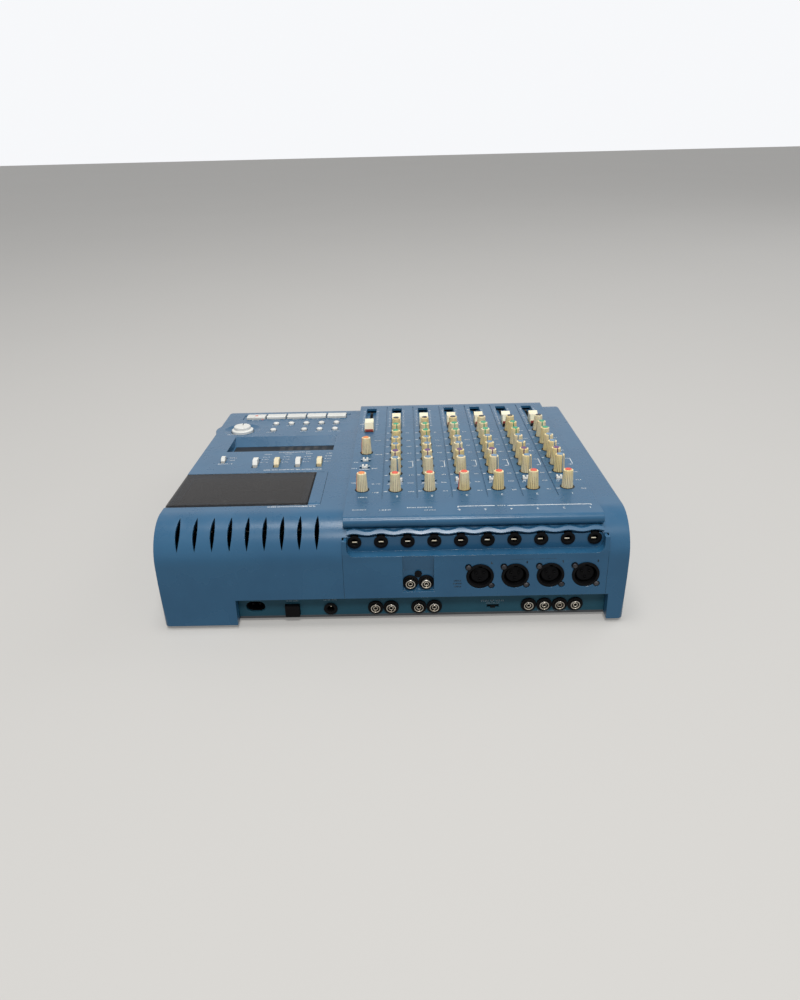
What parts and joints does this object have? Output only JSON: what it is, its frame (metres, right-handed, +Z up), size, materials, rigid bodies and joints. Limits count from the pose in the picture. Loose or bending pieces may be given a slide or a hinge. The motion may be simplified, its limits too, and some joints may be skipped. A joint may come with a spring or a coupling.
{
  "type": "four track cassette recorder",
  "caption": "Desktop four track cassette recorder with a sloping mixer panel, knobs, faders, a cassette door and rear sockets.",
  "frame": {"origin": "on the surface the feet stand on, under the middle of the case", "axes": "+Z up, +Y towards the rear connectors, +X to the user's right (the tape deck side)"},
  "size_m": [0.416, 0.368, 0.1149],
  "materials": {
    "case_blue": "fine grained moulding",
    "deep_teal": "fine grained moulding",
    "base_grey": "satin",
    "foot_rubber": "matte",
    "connector_black": "satin",
    "nickel": "polished",
    "board_green": "satin",
    "pot_grey": "satin",
    "fader_black": "matte",
    "display_black": "gloss",
    "well_grey": "satin",
    "mechanism_steel": "satin",
    "knob_cream": "satin",
    "button_white": "satin",
    "smoked_window": "gloss",
    "spindle_white": "satin",
    "roller_rubber": "matte"
  },
  "bodies": {
    "case": {"top_cover": "case_blue", "bottom_cover": "base_grey", "jack_panel": "case_blue", "connector_panel": "deep_teal", "rubber_feet": "foot_rubber", "phone_jacks": "connector_black", "xlr_sockets": "connector_black", "rca_bodies": "connector_black", "rca_shells": "nickel", "power_inlet": "connector_black", "circuit_boards": "board_green", "rotary_pots": "pot_grey", "slide_pots": "fader_black", "display_window": "display_black", "display_module": "pot_grey", "cassette_well": "well_grey", "mechanism_chassis": "mechanism_steel", "channel_knobs": "knob_cream", "input_switches": "button_white", "function_buttons": "button_white"},
    "cassette_door": {"door_frame": "case_blue", "door_window": "smoked_window"},
    "head_carriage": {"head_carriage": "mechanism_steel"},
    "fader_master": {"fader_master": "knob_cream"},
    "pitch_knob": {"pitch_knob": "button_white"},
    "power_button": {"power_button": "connector_black"},
    "fader_1": {"fader_1": "knob_cream"},
    "fader_2": {"fader_2": "knob_cream"},
    "fader_3": {"fader_3": "knob_cream"},
    "fader_4": {"fader_4": "knob_cream"},
    "fader_5": {"fader_5": "knob_cream"},
    "fader_6": {"fader_6": "knob_cream"},
    "key_rewind": {"key_rewind": "button_white"},
    "key_forward": {"key_forward": "button_white"},
    "key_stop": {"key_stop": "button_white"},
    "key_play": {"key_play": "button_white"},
    "key_record": {"key_record": "button_white"},
    "record_switch_1": {"record_switch_1": "knob_cream"},
    "record_switch_2": {"record_switch_2": "button_white"},
    "record_switch_3": {"record_switch_3": "knob_cream"},
    "record_switch_4": {"record_switch_4": "button_white"},
    "rehearsal_switch": {"rehearsal_switch": "button_white"},
    "input_switch_1": {"input_switch_1": "button_white"},
    "monitor_switch_1": {"monitor_switch_1": "button_white"},
    "monitor_switch_2": {"monitor_switch_2": "button_white"},
    "sync_switch": {"sync_switch": "connector_black"},
    "knob_1_trim": {"knob_1_trim": "knob_cream"},
    "knob_1_high": {"knob_1_high": "knob_cream"},
    "knob_1_mid_freq": {"knob_1_mid_freq": "knob_cream"},
    "knob_1_mid": {"knob_1_mid": "knob_cream"},
    "knob_1_low": {"knob_1_low": "knob_cream"},
    "knob_1_effect_1": {"knob_1_effect_1": "knob_cream"},
    "knob_1_effect_2": {"knob_1_effect_2": "knob_cream"},
    "knob_1_pan": {"knob_1_pan": "knob_cream"},
    "phones_knob": {"phones_knob": "knob_cream"},
    "monitor_knob": {"monitor_knob": "knob_cream"},
    "supply_spindle": {"supply_spindle": "spindle_white"},
    "takeup_spindle": {"takeup_spindle": "spindle_white"},
    "capstan_flywheel": {"capstan_flywheel": "mechanism_steel"},
    "pinch_roller": {"pinch_roller": "roller_rubber"}
  },
  "joints": [
    {"name": "door_hinge", "type": "hinge", "parent": "case", "child": "cassette_door", "pos_m": [0.138, 0.12486, 0.09143], "axis": [-1, 0, 0], "range_deg": [0, 70]},
    {"name": "head_carriage_slide", "type": "slide", "parent": "case", "child": "head_carriage", "axis": [0, 0.9966, 0.0819], "range_m": [0, 0.004]},
    {"name": "master_fader_slide", "type": "slide", "parent": "case", "child": "fader_master", "axis": [0, 0.9973, 0.0741], "range_m": [-0.0595, 0.0003]},
    {"name": "pitch_turn", "type": "hinge", "parent": "case", "child": "pitch_knob", "pos_m": [0.1771, -0.095, 0.07817], "axis": [0, -0.0819, 0.9966], "range_deg": [-140, 140]},
    {"name": "power_press", "type": "slide", "parent": "case", "child": "power_button", "axis": [0, -1, 0], "range_m": [0, 0.003], "stiffness_N_per_m": 300, "springref_m": -0.002},
    {"name": "fader_1_slide", "type": "slide", "parent": "case", "child": "fader_1", "axis": [0, 0.9973, 0.0741], "range_m": [-0.0505, 0.0095]},
    {"name": "fader_2_slide", "type": "slide", "parent": "case", "child": "fader_2", "axis": [0, 0.9973, 0.0741], "range_m": [-0.0505, 0.0095]},
    {"name": "fader_3_slide", "type": "slide", "parent": "case", "child": "fader_3", "axis": [0, 0.9973, 0.0741], "range_m": [-0.0505, 0.0095]},
    {"name": "fader_4_slide", "type": "slide", "parent": "case", "child": "fader_4", "axis": [0, 0.9973, 0.0741], "range_m": [-0.0505, 0.0095]},
    {"name": "fader_5_slide", "type": "slide", "parent": "case", "child": "fader_5", "axis": [0, 0.9973, 0.0741], "range_m": [-0.0505, 0.0095]},
    {"name": "fader_6_slide", "type": "slide", "parent": "case", "child": "fader_6", "axis": [0, 0.9973, 0.0741], "range_m": [-0.0505, 0.0095]},
    {"name": "key_rewind_press", "type": "slide", "parent": "case", "child": "key_rewind", "axis": [0, 0.0819, -0.9966], "range_m": [0, 0.0012], "stiffness_N_per_m": 250, "springref_m": -0.001},
    {"name": "key_forward_press", "type": "slide", "parent": "case", "child": "key_forward", "axis": [0, 0.0819, -0.9966], "range_m": [0, 0.0012], "stiffness_N_per_m": 250, "springref_m": -0.001},
    {"name": "key_stop_press", "type": "slide", "parent": "case", "child": "key_stop", "axis": [0, 0.0819, -0.9966], "range_m": [0, 0.0012], "stiffness_N_per_m": 250, "springref_m": -0.001},
    {"name": "key_play_press", "type": "slide", "parent": "case", "child": "key_play", "axis": [0, 0.0819, -0.9966], "range_m": [0, 0.0012], "stiffness_N_per_m": 250, "springref_m": -0.001},
    {"name": "key_record_press", "type": "slide", "parent": "case", "child": "key_record", "axis": [0, 0.0819, -0.9966], "range_m": [0, 0.0012], "stiffness_N_per_m": 250, "springref_m": -0.001},
    {"name": "record_switch_1_slide", "type": "slide", "parent": "case", "child": "record_switch_1", "axis": [0, 0.9966, 0.0819], "range_m": [-0.0065, 0.0065]},
    {"name": "record_switch_2_slide", "type": "slide", "parent": "case", "child": "record_switch_2", "axis": [0, 0.9966, 0.0819], "range_m": [-0.0065, 0.0065]},
    {"name": "record_switch_3_slide", "type": "slide", "parent": "case", "child": "record_switch_3", "axis": [0, 0.9966, 0.0819], "range_m": [-0.0065, 0.0065]},
    {"name": "record_switch_4_slide", "type": "slide", "parent": "case", "child": "record_switch_4", "axis": [0, 0.9966, 0.0819], "range_m": [-0.0065, 0.0065]},
    {"name": "rehearsal_switch_slide", "type": "slide", "parent": "case", "child": "rehearsal_switch", "axis": [0, 0.9966, 0.0819], "range_m": [-0.0038, 0.0038]},
    {"name": "input_switch_1_slide", "type": "slide", "parent": "case", "child": "input_switch_1", "axis": [1, 0, 0], "range_m": [-0.0074, 0]},
    {"name": "monitor_switch_1_slide", "type": "slide", "parent": "case", "child": "monitor_switch_1", "axis": [1, 0, 0], "range_m": [-0.002, 0.002]},
    {"name": "monitor_switch_2_slide", "type": "slide", "parent": "case", "child": "monitor_switch_2", "axis": [1, 0, 0], "range_m": [-0.002, 0.002]},
    {"name": "sync_switch_slide", "type": "slide", "parent": "case", "child": "sync_switch", "axis": [1, 0, 0], "range_m": [-0.003, 0.003]},
    {"name": "knob_1_trim_turn", "type": "hinge", "parent": "case", "child": "knob_1_trim", "pos_m": [-0.166, 0.1045, 0.09738], "axis": [0, -0.0741, 0.9973], "range_deg": [-150, 150]},
    {"name": "knob_1_high_turn", "type": "hinge", "parent": "case", "child": "knob_1_high", "pos_m": [-0.166, 0.0642, 0.09438], "axis": [0, -0.0741, 0.9973], "range_deg": [-150, 150]},
    {"name": "knob_1_mid_freq_turn", "type": "hinge", "parent": "case", "child": "knob_1_mid_freq", "pos_m": [-0.166, 0.045, 0.09295], "axis": [0, -0.0741, 0.9973], "range_deg": [-150, 150]},
    {"name": "knob_1_mid_turn", "type": "hinge", "parent": "case", "child": "knob_1_mid", "pos_m": [-0.166, 0.0246, 0.09144], "axis": [0, -0.0741, 0.9973], "range_deg": [-150, 150]},
    {"name": "knob_1_low_turn", "type": "hinge", "parent": "case", "child": "knob_1_low", "pos_m": [-0.166, 0.0044, 0.08994], "axis": [0, -0.0741, 0.9973], "range_deg": [-150, 150]},
    {"name": "knob_1_effect_1_turn", "type": "hinge", "parent": "case", "child": "knob_1_effect_1", "pos_m": [-0.166, -0.018, 0.08827], "axis": [0, -0.0741, 0.9973], "range_deg": [-150, 150]},
    {"name": "knob_1_effect_2_turn", "type": "hinge", "parent": "case", "child": "knob_1_effect_2", "pos_m": [-0.166, -0.0398, 0.08665], "axis": [0, -0.0741, 0.9973], "range_deg": [-150, 150]},
    {"name": "knob_1_pan_turn", "type": "hinge", "parent": "case", "child": "knob_1_pan", "pos_m": [-0.166, -0.0616, 0.08503], "axis": [0, -0.0741, 0.9973], "range_deg": [-150, 150]},
    {"name": "phones_knob_turn", "type": "hinge", "parent": "case", "child": "phones_knob", "pos_m": [0.0257, 0.103, 0.09727], "axis": [0, -0.0741, 0.9973], "range_deg": [-150, 150]},
    {"name": "monitor_knob_turn", "type": "hinge", "parent": "case", "child": "monitor_knob", "pos_m": [0.0257, 0.0032, 0.08985], "axis": [0, -0.0741, 0.9973], "range_deg": [-150, 150]},
    {"name": "supply_spindle_turn", "type": "hinge", "parent": "case", "child": "supply_spindle", "pos_m": [0.11675, 0.08974, 0.07931], "axis": [0, -0.0819, 0.9966], "continuous": true},
    {"name": "takeup_spindle_turn", "type": "hinge", "parent": "case", "child": "takeup_spindle", "pos_m": [0.15925, 0.08974, 0.07931], "axis": [0, -0.0819, 0.9966], "continuous": true},
    {"name": "capstan_turn", "type": "hinge", "parent": "case", "child": "capstan_flywheel", "pos_m": [0.17135, 0.06163, 0.077], "axis": [0, -0.0819, 0.9966], "continuous": true},
    {"name": "pinch_roller_turn", "type": "hinge", "parent": "head_carriage", "child": "pinch_roller", "pos_m": [0.17135, 0.04961, 0.07802], "axis": [0, -0.0819, 0.9966], "continuous": true}
  ]
}
